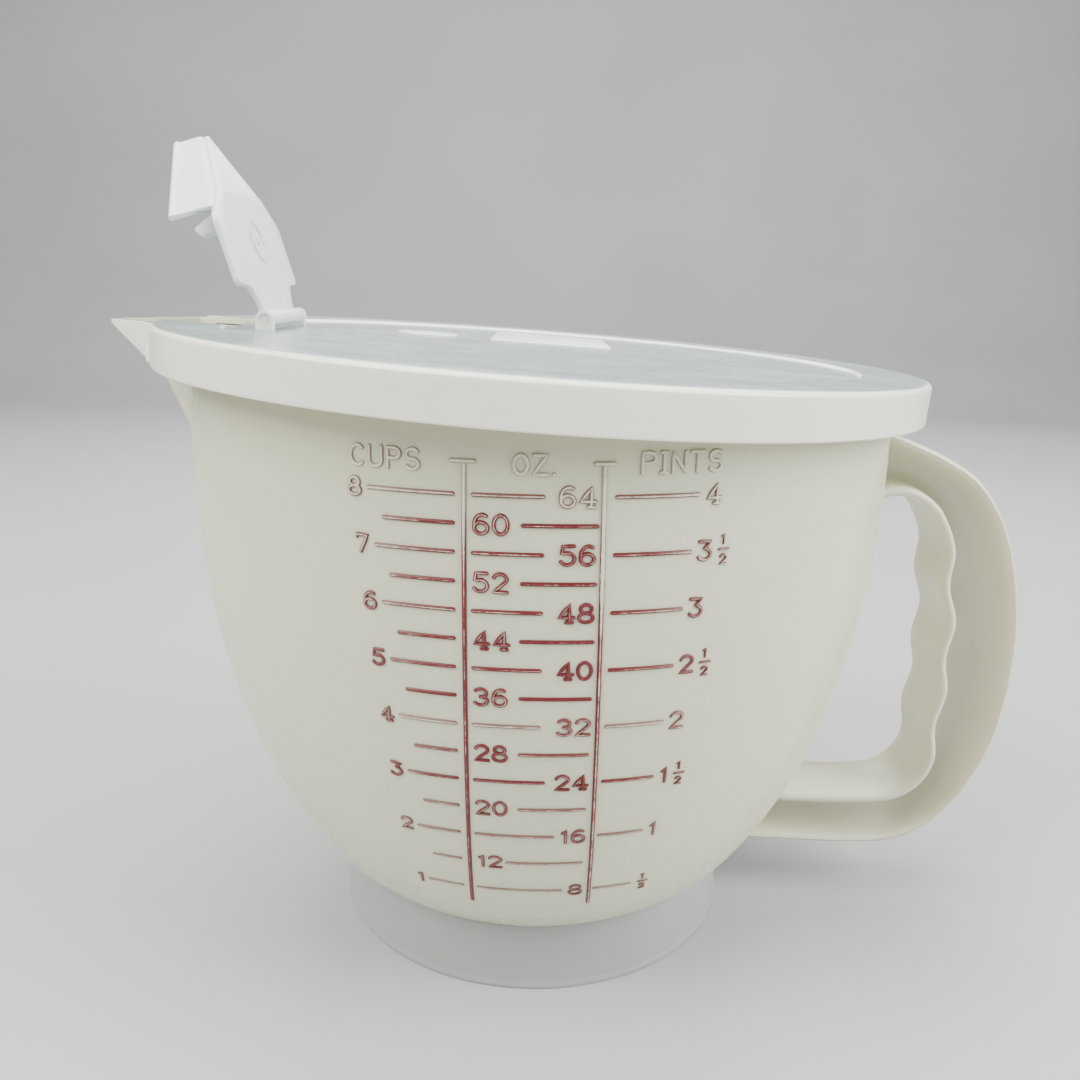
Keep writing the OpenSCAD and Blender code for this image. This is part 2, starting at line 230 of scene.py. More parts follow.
# ---------------------------------------------------------------- mesh helpers
def mesh_object(name, verts, faces, smooth_deg=35.0):
    """A mesh from vertices in mm, with outward faces and smooth shading below an angle."""
    me = bpy.data.meshes.new(name)
    me.from_pydata([(x * MM, y * MM, z * MM) for x, y, z in verts], [], faces)
    me.validate()
    bm = bmesh.new()
    bm.from_mesh(me)
    bmesh.ops.recalc_face_normals(bm, faces=bm.faces)
    bm.to_mesh(me)
    bm.free()
    ob = bpy.data.objects.new(name, me)
    bpy.context.scene.collection.objects.link(ob)
    shade(ob, smooth_deg)
    return ob


def centre(points):
    """The middle of a ring of points."""
    return tuple(sum(p[k] for p in points) / len(points) for k in range(3))


def shade(ob, smooth_deg):
    me = ob.data
    me.polygons.foreach_set("use_smooth", [True] * len(me.polygons))
    me.set_sharp_from_angle(angle=math.radians(smooth_deg))
    me.update()


def turned(name, rings, n_phi, smooth_deg=35.0):
    """A closed skin of rings about an axis. A ring is a list of points, or one pole point."""
    verts, faces, starts = [], [], []
    for ring in rings:
        starts.append((len(verts), len(ring)))
        verts.extend(ring)
    for (s0, c0), (s1, c1) in zip(starts, starts[1:]):
        for k in range(n_phi):
            j = (k + 1) % n_phi
            if c0 == 1:
                faces.append((s0, s1 + j, s1 + k))
            elif c1 == 1:
                faces.append((s0 + k, s0 + j, s1))
            else:
                faces.append((s0 + k, s0 + j, s1 + j, s1 + k))
    first, last = starts[0], starts[-1]
    if first[1] > 1 and last[1] > 1:
        for k in range(n_phi):
            j = (k + 1) % n_phi
            faces.append((last[0] + k, last[0] + j, first[0] + j, first[0] + k))
    return mesh_object(name, verts, faces, smooth_deg)


def prism(name, plan, low, high, place, smooth_deg=30.0):
    """A slab from a plan outline; low and high are numbers or functions of x and y."""
    def at(h, x, y):
        return h(x, y) if callable(h) else h
    n = len(plan)
    verts = [place(x, y, at(low, x, y)) for x, y in plan]
    verts += [place(x, y, at(high, x, y)) for x, y in plan]
    faces = [tuple(range(n)), tuple(range(2 * n - 1, n - 1, -1))]
    faces += [(k, (k + 1) % n, n + (k + 1) % n, n + k) for k in range(n)]
    return mesh_object(name, verts, faces, smooth_deg)


def circle(x, y, r, n):
    """A plan outline of a circle with n points."""
    return [(x + r * math.cos(2 * math.pi * k / n), y + r * math.sin(2 * math.pi * k / n))
            for k in range(n)]


def apply_modifiers(ob):
    """Bakes an object's modifiers into its mesh."""
    graph = bpy.context.evaluated_depsgraph_get()
    baked = bpy.data.meshes.new_from_object(ob.evaluated_get(graph))
    ob.modifiers.clear()
    old = ob.data
    ob.data = baked
    bpy.data.meshes.remove(old)


def cut(ob, tool):
    """Takes the tool's solid out of an object and throws the tool away."""
    m = ob.modifiers.new("cut", "BOOLEAN")
    m.operation = "DIFFERENCE"
    m.solver = "EXACT"
    m.object = tool
    apply_modifiers(ob)
    me = tool.data
    bpy.data.objects.remove(tool)
    bpy.data.meshes.remove(me)


def edge_bevel(ob, width, angle):
    """A bevel modifier, width in mm, on edges sharper than an angle in degrees."""
    m = ob.modifiers.new("edge", "BEVEL")
    m.width = width * MM
    m.segments = 3
    m.limit_method = "ANGLE"
    m.angle_limit = math.radians(angle)


def bevel(ob, width):
    edge_bevel(ob, width, 32)
    apply_modifiers(ob)
    shade(ob, 40)


def dress(ob, body, slot, material, *nodes):
    """Gives a finished piece its material and body, and hides the CAD nodes it stands for; slot is not
    used.
    """
    ob.data.materials.clear()
    ob.data.materials.append(material)
    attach(ob, body)
    if nodes:
        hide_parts(*nodes)
    return ob


# ---------------------------------------------------------------- materials
def new_material(name):
    m = bpy.data.materials.new(name)
    m.use_nodes = True
    nt = m.node_tree
    nt.nodes.clear()
    out = nt.nodes.new("ShaderNodeOutputMaterial")
    bsdf = nt.nodes.new("ShaderNodeBsdfPrincipled")
    nt.links.new(bsdf.outputs["BSDF"], out.inputs["Surface"])
    return m, nt, bsdf


def noise(nt, scale, detail=3.0, rough=0.5, stretch=(1, 1, 1)):
    """Noise in object space; scale is in cells per metre."""
    tc = nt.nodes.new("ShaderNodeTexCoord")
    mp = nt.nodes.new("ShaderNodeMapping")
    mp.inputs["Scale"].default_value = stretch
    nz = nt.nodes.new("ShaderNodeTexNoise")
    nz.inputs["Scale"].default_value = scale
    nz.inputs["Detail"].default_value = detail
    nz.inputs["Roughness"].default_value = rough
    nt.links.new(tc.outputs["Object"], mp.inputs["Vector"])
    nt.links.new(mp.outputs["Vector"], nz.inputs["Vector"])
    return nz.outputs["Fac"]


def remap(nt, value, a0, a1, b0, b1):
    r = nt.nodes.new("ShaderNodeMapRange")
    r.clamp = True
    r.inputs["From Min"].default_value = a0
    r.inputs["From Max"].default_value = a1
    r.inputs["To Min"].default_value = b0
    r.inputs["To Max"].default_value = b1
    nt.links.new(value, r.inputs["Value"])
    return r.outputs["Result"]


def mix(nt, fac, a, b):
    """Mixes two colours; each is a socket or a plain colour."""
    m = nt.nodes.new("ShaderNodeMix")
    m.data_type = "RGBA"
    ins = [s for s in m.inputs if s.type == "RGBA"]
    facs = [s for s in m.inputs if s.type == "VALUE"]
    nt.links.new(fac, facs[0])
    for socket, val in zip(ins, (a, b)):
        if hasattr(val, "is_linked"):
            nt.links.new(val, socket)
        else:
            socket.default_value = (*val, 1.0)
    return [s for s in m.outputs if s.type == "RGBA"][0]


def calc(nt, op, a, b=None):
    m = nt.nodes.new("ShaderNodeMath")
    m.operation = op
    for i, val in enumerate((a, b)):
        if val is None:
            continue
        if hasattr(val, "is_linked"):
            nt.links.new(val, m.inputs[i])
        else:
            m.inputs[i].default_value = val
    return m.outputs[0]


def plastic(name, light, shade_col, rough, scatter=0.35, depth=2.5, peel=0.008, scuff=0.16, top=None):
    """Moulded translucent plastic: a mottled tint, an orange-peel gloss and fine scuffs.

    top, when given, is a dark tint painted on faces that look up: painted shade and a painted dark
    reflection, standing in for the shaded lid top that mirrors dark surroundings."""
    m, nt, bsdf = new_material(name)
    cloud = noise(nt, 14, 4, 0.55)
    speck = noise(nt, 900, 2, 0.6)
    tint = mix(nt, remap(nt, cloud, 0.35, 0.65, 0, 1), light, shade_col)
    # Painted shade: faces that look up take the dark top tint in place of the mottled tint.
    if top:
        tc = nt.nodes.new("ShaderNodeTexCoord")
        sep = nt.nodes.new("ShaderNodeSeparateXYZ")
        nt.links.new(tc.outputs["Normal"], sep.inputs["Vector"])
        tint = mix(nt, remap(nt, sep.outputs["Z"], 0.90, 0.985, 0, 1), tint, top)
    dust = mix(nt, remap(nt, speck, 0.68, 0.80, 0, 0.22), tint, tuple(0.72 * c for c in shade_col))
    nt.links.new(dust, bsdf.inputs["Base Color"])
    hair = noise(nt, 420, 3, 0.7, (1, 1, 0.06))
    wear = noise(nt, 55, 4, 0.6)
    gloss = remap(nt, wear, 0.35, 0.7, rough - 0.05, rough + 0.09)
    lines = remap(nt, hair, 0.64, 0.80, 0, scuff)
    nt.links.new(calc(nt, "ADD", gloss, lines), bsdf.inputs["Roughness"])
    bump = nt.nodes.new("ShaderNodeBump")
    bump.inputs["Strength"].default_value = 0.30
    bump.inputs["Distance"].default_value = peel * MM
    ripple = noise(nt, 260, 2, 0.5)
    nt.links.new(calc(nt, "ADD", ripple, calc(nt, "MULTIPLY", lines, -0.7)), bump.inputs["Height"])
    nt.links.new(bump.outputs["Normal"], bsdf.inputs["Normal"])
    bsdf.inputs["IOR"].default_value = 1.49
    bsdf.inputs["Subsurface Weight"].default_value = scatter
    bsdf.inputs["Subsurface Radius"].default_value = (1.0, 0.9, 0.7)
    bsdf.inputs["Subsurface Scale"].default_value = depth * MM
    return m


bowl_plastic = plastic("bowl_plastic", (0.72, 0.715, 0.53), (0.685, 0.68, 0.495), 0.28)
foot_plastic = plastic("foot_plastic", (0.42, 0.41, 0.40), (0.38, 0.375, 0.36), 0.34)
handle_plastic = plastic("handle_plastic", (0.70, 0.69, 0.54), (0.66, 0.65, 0.50), 0.33)
# The lid's dark top tint is painted shade and dark reflection on its up-facing faces, the hinge lugs
# included.
lid_plastic_painted_top_shade = plastic("lid_plastic_painted_top_shade", (0.96, 0.955, 0.82), (0.93, 0.925, 0.79), 0.24, top=(0.25, 0.31, 0.30))
# Painted highlight: the pads' near white stands in for a window's reflection on them.
pad_plastic_painted_highlight = plastic("pad_plastic_painted_highlight", (0.93, 0.95, 0.94), (0.88, 0.90, 0.89), 0.22)
cap_plastic = plastic("cap_plastic", (0.84, 0.88, 0.87), (0.78, 0.83, 0.82), 0.28)


def ink_material():
    """Raised marks: red ink on the flanks, worn through to cream along the crests.

    The UV's u runs across a stroke from 0 to 1; the colour attribute "ink" says how much
    ink is left: its red is the cover, its green the wear of the crest."""
    m, nt, bsdf = new_material("scale_ink")
    uv = nt.nodes.new("ShaderNodeUVMap")
    sep = nt.nodes.new("ShaderNodeSeparateXYZ")
    nt.links.new(uv.outputs["UV"], sep.inputs["Vector"])
    at = nt.nodes.new("ShaderNodeAttribute")
    at.attribute_name = "ink"
    level = nt.nodes.new("ShaderNodeSeparateColor")
    nt.links.new(at.outputs["Color"], level.inputs["Color"])
    across = calc(nt, "ABSOLUTE", calc(nt, "SUBTRACT", calc(nt, "MULTIPLY", sep.outputs["X"], 2.0), 1.0))
    grain = noise(nt, 1500, 3, 0.6)
    patch = noise(nt, 260, 3, 0.6)
    rag = calc(nt, "ADD", calc(nt, "MULTIPLY", grain, 0.45), calc(nt, "MULTIPLY", patch, 0.75))
    crest = calc(nt, "ADD", across, calc(nt, "SUBTRACT", rag, 0.6))
    worn = calc(nt, "SUBTRACT", crest, level.outputs["Green"])
    kept = remap(nt, worn, -0.10, 0.12, 0, 1)
    cover = calc(nt, "MULTIPLY", kept, level.outputs["Red"])
    red = mix(nt, remap(nt, across, 0.35, 0.95, 0, 1), (0.15, 0.006, 0.010), (0.08, 0.004, 0.006))
    body = mix(nt, cover, (0.72, 0.70, 0.55), red)
    nt.links.new(body, bsdf.inputs["Base Color"])
    nt.links.new(remap(nt, cover, 0, 1, 0.30, 0.42), bsdf.inputs["Roughness"])
    bsdf.inputs["IOR"].default_value = 1.49
    return m


scale_ink = ink_material()


# ---------------------------------------------------------------- bowl
def grid_phis():
    """Angles round the bowl, closer together over the spout and the beak."""
    phis, a = [], 0.0
    while a < 359.9:
        phis.append(math.radians(a))
        off = abs(a - 180)
        a += 0.5 if off < 24 else (1.0 if off < 34 else 2.0)
    return phis


def top_height(r, phi, w):
    """Height of the rim plane, raised by w, over a point r from the axis."""
    return RIM_Z - r * math.cos(phi) * math.tan(SLOPE) + w / math.cos(SLOPE)


def build_bowl():
    phis = grid_phis()
    rings = [[(0, 0, FLOOR_UNDER)]]
    for r in (20, 38, 47, 50.2):
        rings.append([(r * math.cos(p), r * math.sin(p), FLOOR_UNDER) for p in phis])
    foot_top = FOOT_R - FOOT_TAPER
    r_fillet = oval(FILLET_Z)
    rows = 150
    for i in range(rows + 1):
        t = i / rows
        ring = []
        for p in phis:
            r = oval(RIM_Z)
            for _ in range(3):
                z = lerp(FLOOR_UNDER, top_height(r, p, -RIM_T), t)
                r = wall_r(z, p)
            if z < FILLET_Z:
                rise = max(0.0, z - SEAM_Z) / (FILLET_Z - SEAM_Z)
                r = foot_top - 0.25 + (r_fillet - foot_top + 0.25) * rise ** 0.76
            ring.append((r * math.cos(p), r * math.sin(p), z))
        rings.append(ring)

    def top_r(p, inset):
        r = oval(RIM_Z, inset)
        for _ in range(4):
            r = wall_r(top_height(r, p, -RIM_T), p, inset)
        return r

    outer = [top_r(p, 0) for p in phis]
    inner = [top_r(p, WALL) for p in phis]
    edge = [max(RIM_R, o + 0.3) for o in outer]
    for back, w in ((1.8, -2.3), (1.5, -2.9), (0.9, -3.1), (0.3, -2.8), (0.0, -2.2),
                    (0.0, -0.6), (0.15, -0.2), (0.55, 0.0)):
        rings.append([rim_point(e - min(back, 0.8 * (e - o)), p, w)
                      for e, o, p in zip(edge, outer, phis)])
    for out, w in ((0.7, 0.0), (0.2, -0.2), (0.0, -0.7)):
        rings.append([rim_point(r + out, p, w) for r, p in zip(inner, phis)])
    rows = 70
    floor_turn = FLOOR_Z + 2.6
    for i in range(rows + 1):
        t = i / rows
        ring = []
        for p in phis:
            r = oval(RIM_Z, WALL)
            for _ in range(3):
                z = lerp(top_height(r, p, -RIM_T), floor_turn, t)
                r = wall_r(z, p, WALL)
            ring.append((r * math.cos(p), r * math.sin(p), z))
        rings.append(ring)
    for r, z in ((47.4, 15.2), (45.8, 14.3), (43.6, 13.75), (40, FLOOR_Z), (20, FLOOR_Z)):
        rings.append([(r * math.cos(p), r * math.sin(p), z) for p in phis])
    rings.append([(0, 0, FLOOR_Z)])
    ob = turned("bowl_moulding", rings, len(phis), 40)
    return dress(ob, "bowl", "bowl", bowl_plastic, "bowl_shell", "bowl_rim", "pour_spout")


def build_foot():
    n = 180
    phis = [2 * math.pi * k / n for k in range(n)]
    r_in = FOOT_R - FOOT_WALL
    profile = [
        (r_in + 0.35, 0.0), (FOOT_R - 0.35, 0.0), (FOOT_R - 0.08, 0.15), (FOOT_R, 0.45),
        (FOOT_R - 0.02, 1.0), (FOOT_R - 0.12, 1.45), (FOOT_R - 0.26, 1.8), (FOOT_R - 0.3, 2.4),
        (FOOT_R - 0.40, 6.5), (FOOT_R - 0.50, 11.5), (FOOT_R - 0.55, SEAM_Z - 0.5),
        (FOOT_R - FOOT_TAPER, SEAM_Z - 0.2), (FOOT_R - FOOT_TAPER - 0.25, SEAM_Z),
        (FOOT_R - FOOT_TAPER - 0.5, SEAM_Z), (FOOT_R - FOOT_TAPER - 0.6, FLOOR_UNDER),
        (r_in - FOOT_TAPER - 1.4, FLOOR_UNDER), (r_in - FOOT_TAPER - 0.5, FLOOR_UNDER - 0.4),
        (r_in - FOOT_TAPER, FLOOR_UNDER - 1.4), (r_in - 0.3, 6.0), (r_in, 1.0), (r_in + 0.08, 0.25),
    ]
    rings = [[(r * math.cos(p), r * math.sin(p), z) for p in phis] for r, z in profile]
    ob = turned("foot_moulding", rings, n, 40)
    return dress(ob, "bowl", "foot", foot_plastic, "foot_ring")


# ---------------------------------------------------------------- handle
HANDLE_KEYS = [
    # outer x, z, inner x, z
    (74.0, 132.2, 74.0, 109.6), (83.0, 129.4, 81.5, 111.4), (90.5, 126.6, 87.5, 112.7),
    (98.5, 123.2, 92.5, 112.2), (107.0, 118.2, 97.0, 109.4), (113.2, 111.4, 100.0, 105.4),
    (118.0, 102.5, 102.6, 99.2), (121.6, 91.0, 104.2, 90.0), (123.6, 80.0, 105.4, 80.0),
    (124.2, 69.0, 105.9, 69.0), (123.7, 58.0, 105.7, 58.0), (122.0, 47.0, 105.6, 47.6),
    (118.6, 37.2, 104.6, 39.4), (113.4, 28.0, 101.6, 34.2), (106.4, 20.8, 97.0, 31.2),
    (97.5, 16.8, 90.5, 30.2), (86.0, 15.9, 80.0, 30.0), (72.0, 16.2, 70.0, 30.3),
    (58.0, 16.7, 60.0, 31.0), (47.0, 17.2, 52.0, 31.8),
]


def handle_section(width):
    """Half of the handle's outline across: distance from the finger side, and half width."""
    rise = [
        (0.0, 0.0), (0.0, 6.0), (0.05, 9.6), (0.35, 10.35), (0.95, HANDLE_HALF),
        (1.7, 10.5), (2.15, 10.0), (FLANGE, 9.0), (2.55, 5.5), (2.9, 3.2), (3.7, 1.9), (4.9, WEB_HALF),
    ]
    back = [
        (7.6, WEB_HALF), (5.6, 1.9), (4.1, 3.3), (3.0, 5.6), (2.3, 8.0), (1.9, 9.6),
        (1.45, 10.3), (0.85, HANDLE_HALF), (0.3, 10.3), (0.02, 9.4), (0.0, 6.0), (0.0, 0.0),
    ]
    tail = [(width - d, h) for d, h in back]
    return rise + tail


def build_handle():
    line = catmull(HANDLE_KEYS, 14)
    rings = []
    for ox, oz, ix, iz in line:
        if ix > 100 and GROOVE_TOP - 3 * GROOVE_PITCH < iz < GROOVE_TOP:
            turn = 2 * math.pi * (GROOVE_TOP - iz) / GROOVE_PITCH
            ix -= GROOVE * (0.5 - 0.5 * math.cos(turn))
        width = math.hypot(ox - ix, oz - iz)
        ux, uz = (ox - ix) / width, (oz - iz) / width
        half = handle_section(width)
        loop = [(d, -h) for d, h in half] + [(d, h) for d, h in reversed(half[1:-1])]
        ring = []
        for d, h in loop:
            x, y, z = ix + ux * d, h, iz + uz * d
            need = oval(z) - 1.0 if z > 15.5 else FOOT_R - FOOT_TAPER - 0.8
            if x * x + y * y < need * need:
                x = math.sqrt(max(need * need - y * y, 0.0))
            ring.append((x, y, z))
        rings.append(ring)
    n = len(rings[0])
    rings = [[centre(rings[0])]] + rings + [[centre(rings[-1])]]
    ob = turned("handle_moulding", rings, n, 50)
    return dress(ob, "bowl", "bowl", handle_plastic,
                 "handle_web", "handle_palm_flange", "handle_finger_flange")


# ---------------------------------------------------------------- lid
def beak_r(phi, w):
    """Outer radius of the lid's skirt, with the pointed beak, in the rim frame."""
    c, s = abs(math.cos(phi)), abs(math.sin(phi))
    if math.cos(phi) > -BEAK_COS:
        return LID_R
    side = BEAK_REACH * BEAK_SLOPE / (math.sqrt(s * s + 0.00004) + BEAK_SLOPE * c)
    hull = (BEAK_REACH + (w - HULL_LIFT) / HULL_STEEP) / c
    out = smin(side, hull, 0.4)
    r = smax(LID_R, out, 0.12) if out > LID_R - 1 else LID_R
    off = (math.degrees(math.atan2(s, c)) - ROOT_RIB_DEG) / ROOT_RIB_WIDE
    return r + ROOT_RIB * math.exp(-off * off) * lerp(1.0, 0.35, ease((w + 3.4) / 1.2))


def beak_top(phi):
    """Height of the beak's top edge: it falls from the skirt to the tip."""
    x = beak_r(phi, BEAK_TOP) * abs(math.cos(phi)) if math.cos(phi) < -BEAK_COS else 0.0
    return BEAK_TOP - BEAK_FALL * max(0.0, x - BEAK_BACK) / (BEAK_REACH - BEAK_BACK)


def build_lid():
    phis = []
    a = 0.0
    while a < 359.95:
        phis.append(math.radians(a))
        off = abs(a - 180)
        a += 0.25 if off < 3 or 13.5 < off < 19 else (0.5 if off < 20 else (1.0 if off < 24 else 2.0))
    inner = LID_R - SKIRT_WALL
    rings = [[rim_xyz(0, 0, LID_GAP)]]

    def ring(R, w):
        rings.append([rim_point(R, p, w) for p in phis])

    for R, w in ((40, LID_GAP), (70, LID_GAP), (76.6, LID_GAP), (77.0, 0.15), (77.2, -0.4),
                 (77.2, -3.7), (77.5, -4.0), (78.2, -4.0), (78.5, -3.7), (78.6, -0.4), (78.8, 0.15),
                 (79.2, LID_GAP), (inner - 1.4, LID_GAP), (inner - 0.5, 0.0), (inner - 0.1, -0.5),
                 (inner, -1.2), (inner, -SKIRT_DROP + 0.3), (inner + 0.25, -SKIRT_DROP)):
        ring(R, w)
    rings.append([rim_point(beak_r(p, -SKIRT_DROP) - 0.3, p, -SKIRT_DROP) for p in phis])
    low = -SKIRT_DROP + 0.3
    rows = 34
    for i in range(rows + 1):
        ws = [lerp(low, beak_top(p) - 0.3, i / rows) for p in phis]
        rings.append([rim_point(beak_r(p, w), p, w) for p, w in zip(phis, ws)])
    rings.append([rim_point(beak_r(p, BEAK_TOP) - 0.12, p, beak_top(p) - 0.1) for p in phis])
    rings.append([rim_point(max(beak_r(p, BEAK_TOP) - 0.4, LID_R - 0.2), p, beak_top(p)) for p in phis])
    for R, w in ((LID_R - 0.28, BEAK_TOP + 0.05), (LID_R - 0.6, BEAK_TOP + 0.35),
                 (LID_R - 1.1, EDGE_RISE - 0.08), (LID_R - 1.7, EDGE_RISE), (84, EDGE_RISE),
                 (STEP_R + 0.5, EDGE_RISE), (STEP_R + 0.1, EDGE_RISE - 0.08),
                 (STEP_R - 0.25, EDGE_RISE - 0.35), (STEP_R - 0.6, EDGE_RISE - PANEL_STEP + 0.1),
                 (STEP_R - 1.1, EDGE_RISE - PANEL_STEP), (60, EDGE_RISE - PANEL_STEP),
                 (30, EDGE_RISE - PANEL_STEP)):
        ring(R, w)
    rings.append([rim_xyz(0, 0, EDGE_RISE - PANEL_STEP)])
    ob = turned("lid_moulding", rings, len(phis), 38)

    cut(ob, prism("room", circle(ROOM_X, 0.0, ROOM_R, 72), -SKIRT_DROP - 2, LID_GAP + 0.01, rim_xyz))
    tip = BEAK_REACH - BEAK_WALL / math.sin(math.atan(BEAK_SLOPE))
    wide = 17.1
    turn_x = tip - wide / BEAK_SLOPE
    plan = [(-74.0, -wide), (-turn_x, -wide), (-tip + 0.5, -0.5 * BEAK_SLOPE), (-tip + 0.3, 0.0),
            (-tip + 0.5, 0.5 * BEAK_SLOPE), (-turn_x, wide), (-74.0, wide)]
    plan = refine(plan, 2.0)
    cut(ob, prism("trough", plan, trough_floor, EDGE_RISE + 3, rim_xyz))
    # The seal ring stops at the spout, so that the lid is open to the beak there.
    seal = [(-86, -20), (-60, -20), (-60, 20), (-86, 20)]
    cut(ob, prism("seal_gap", seal, -5.0, LID_GAP - 0.02, rim_xyz))
    shade(ob, 30)
    return dress(ob, "lid", "lid", lid_plastic_painted_top_shade, "lid_panel", "lid_skirt", "lid_seal_ring", "lid_beak")


def trough_floor(x, y):
    """Height of the beak's floor inside, which follows its hull."""
    return max(-9.0, HULL_LIFT + 1.7 - (x + BEAK_REACH) * HULL_STEEP)


def refine(plan, step):
    """The same outline with points no farther apart than step."""
    out = []
    for (x0, y0), (x1, y1) in zip(plan, plan[1:] + plan[:1]):
        n = max(1, int(math.hypot(x1 - x0, y1 - y0) / step))
        out += [(lerp(x0, x1, k / n), lerp(y0, y1, k / n)) for k in range(n)]
    return out


def rounded(plan, radius, steps=5):
    """An outline with its corners rounded off."""
    out, n = [], len(plan)
    for i in range(n):
        a, b, c = (np.array(plan[j % n], float) for j in (i - 1, i, i + 1))
        cut_back = min(radius, 0.45 * np.linalg.norm(a - b), 0.45 * np.linalg.norm(c - b))
        p = b + (a - b) / np.linalg.norm(a - b) * cut_back
        q = b + (c - b) / np.linalg.norm(c - b) * cut_back
        for k in range(steps + 1):
            t = k / steps
            out.append(tuple((1 - t) ** 2 * p + 2 * t * (1 - t) * b + t * t * q))
    return out


def build_pads():
    """Two plain raised panels on the far half of the lid, coloured near white as a painted highlight."""
    low = EDGE_RISE - PANEL_STEP - 0.2
    high = EDGE_RISE - PANEL_STEP + PAD_RISE
    box = rounded([(-14, 14), (18, 14), (18, 58), (-14, 58)], 3)
    disc = circle(PAD_DISC_X, PAD_DISC_Y, PAD_DISC_R, 64)
    for name, plan, nodes in (("lid_pad_panel", box, ["lid_pads"]), ("lid_pad_disc", disc, [])):
        ob = prism(name, plan, low, high, rim_xyz)
        bevel(ob, 0.25)
        dress(ob, "lid", "lid", pad_plastic_painted_highlight, *nodes)


# ---------------------------------------------------------------- cap
def bent(run, h):
    """Bends the cap's point down past the crease, about the top face of the plate."""
    soft = 0.8
    s = run - CREASE_RUN + soft / 2
    if s <= 0:
        return run, h
    full = max(0.0, s - soft)
    a = POINT_BEND * min(s, soft) / soft
    part = min(s, soft)
    at = CREASE_RUN - soft / 2 + part * math.cos(a / 2) + full * math.cos(a)
    top = PLATE_TOP - part * math.sin(a / 2) - full * math.sin(a)
    deep = PLATE_TOP - h
    return at - deep * math.sin(a), top - deep * math.cos(a)


def under_point(run):
    """Height of the plate's underside, flat or bent, at a run along the flat cap frame."""
    past = max(0.0, run - CREASE_RUN + 0.2)
    return PLATE_LOW - past * math.tan(POINT_BEND)


def open_rounded(path, radius, steps=5):
    """An open outline with its inner corners rounded off."""
    loop = rounded(path, radius, steps)
    return [path[0]] + loop[steps + 1:-(steps + 1)] + [path[-1]]


def cap_edge():
    """Half of the plate's outline as (run, half width), laid flat."""
    long = (TIP_RUN - 0.7 - CREASE_RUN) / math.cos(POINT_BEND)
    path = [(0.6, NECK_HALF), (2.6, NECK_HALF), (5.4, 15.2), (7.7, 17.4), (8.0, WING_HALF - 1.2),
            (8.8, WING_HALF), (WING_RUN, WING_HALF), (CREASE_RUN, CREASE_HALF),
            (CREASE_RUN + long - 1.1, 1.45), (CREASE_RUN + long - 0.3, 0.8), (CREASE_RUN + long, 0.0)]
    smooth = open_rounded(path[:-3], 1.8) + path[-3:]
    edge = [smooth[0]]
    for (r0, y0), (r1, y1) in zip(smooth, smooth[1:]):
        n = max(1, int(math.hypot(r1 - r0, y1 - y0) / 0.8))
        edge += [(lerp(r0, r1, k / n), lerp(y0, y1, k / n)) for k in range(1, n + 1)]
    return edge


def build_plate():
    """The cap's plate, bent at its point, and the barrel round the hinge pin."""
    rings, across = [], 8
    edge = cap_edge()
    for run, half in edge[:-1]:
        soft = min(0.4, 0.45 * half)
        top = [(lerp(soft - half, half - soft, k / across), PLATE_TOP) for k in range(across + 1)]
        side = [(half - soft + soft * math.sin(a), PLATE_TOP - soft + soft * math.cos(a))
                for a in (math.radians(t) for t in (30, 60, 90))]
        low = [(y, PLATE_TOP + PLATE_LOW - h) for y, h in reversed(side)]
        right = side + low
        under = [(y, PLATE_LOW) for y, _ in reversed(top)]
        left = [(-y, h) for y, h in reversed(right)]
        ring = []
        for y, h in top + right + under + left:
            at, up = bent(run, h)
            ring.append(cap_xyz(at, y, up))
        rings.append(ring)
    n = len(rings[0])
    at, up = bent(edge[-1][0], PLATE_TOP - PLATE_T / 2)
    rings = [[centre(rings[0])]] + rings + [[cap_xyz(at, 0.0, up)]]
    ob = turned("cap_plate_part", rings, n, 32)
    barrel = []
    for y, r in ((-NECK_HALF + 0.05, BARREL_R - 0.35), (-NECK_HALF + 0.3, BARREL_R),
                 (NECK_HALF - 0.3, BARREL_R), (NECK_HALF - 0.05, BARREL_R - 0.35)):
        barrel.append([cap_xyz(r * math.cos(a), y, r * math.sin(a))
                       for a in (2 * math.pi * k / 40 for k in range(40))])
    tube = turned("cap_barrel", [[cap_xyz(0, -NECK_HALF + 0.05, 0)]] + barrel
                  + [[cap_xyz(0, NECK_HALF - 0.05, 0)]], 40, 32)
    dress(ob, "cap", "cap", cap_plastic, "cap_plate")
    dress(tube, "cap", "cap", cap_plastic)


def wedge_wall(name, tip, back, section, radius):
    """A wall that follows the cap's point; section gives (inset, height) pairs at a run."""
    path = [(back, (tip - back) * BEAK_SLOPE), (tip, 0.0), (back, -(tip - back) * BEAK_SLOPE)]
    smooth = open_rounded(path, radius, 8)
    line = [smooth[0]]
    for (r0, y0), (r1, y1) in zip(smooth, smooth[1:]):
        n = max(1, int(math.hypot(r1 - r0, y1 - y0) / 0.7))
        line += [(lerp(r0, r1, k / n), lerp(y0, y1, k / n)) for k in range(1, n + 1)]
    rings = []
    for i, (run, y) in enumerate(line):
        a, b = line[max(i - 1, 0)], line[min(i + 1, len(line) - 1)]
        dr, dy = b[0] - a[0], b[1] - a[1]
        long = math.hypot(dr, dy)
        nr, ny = dy / long, -dr / long
        rings.append([cap_xyz(run + nr * d, y + ny * d, h) for d, h in section(run)])
    n = len(rings[0])
    rings = [[centre(rings[0])]] + rings + [[centre(rings[-1])]]
    return dress(turned(name, rings, n, 40), "cap", "cap", cap_plastic)


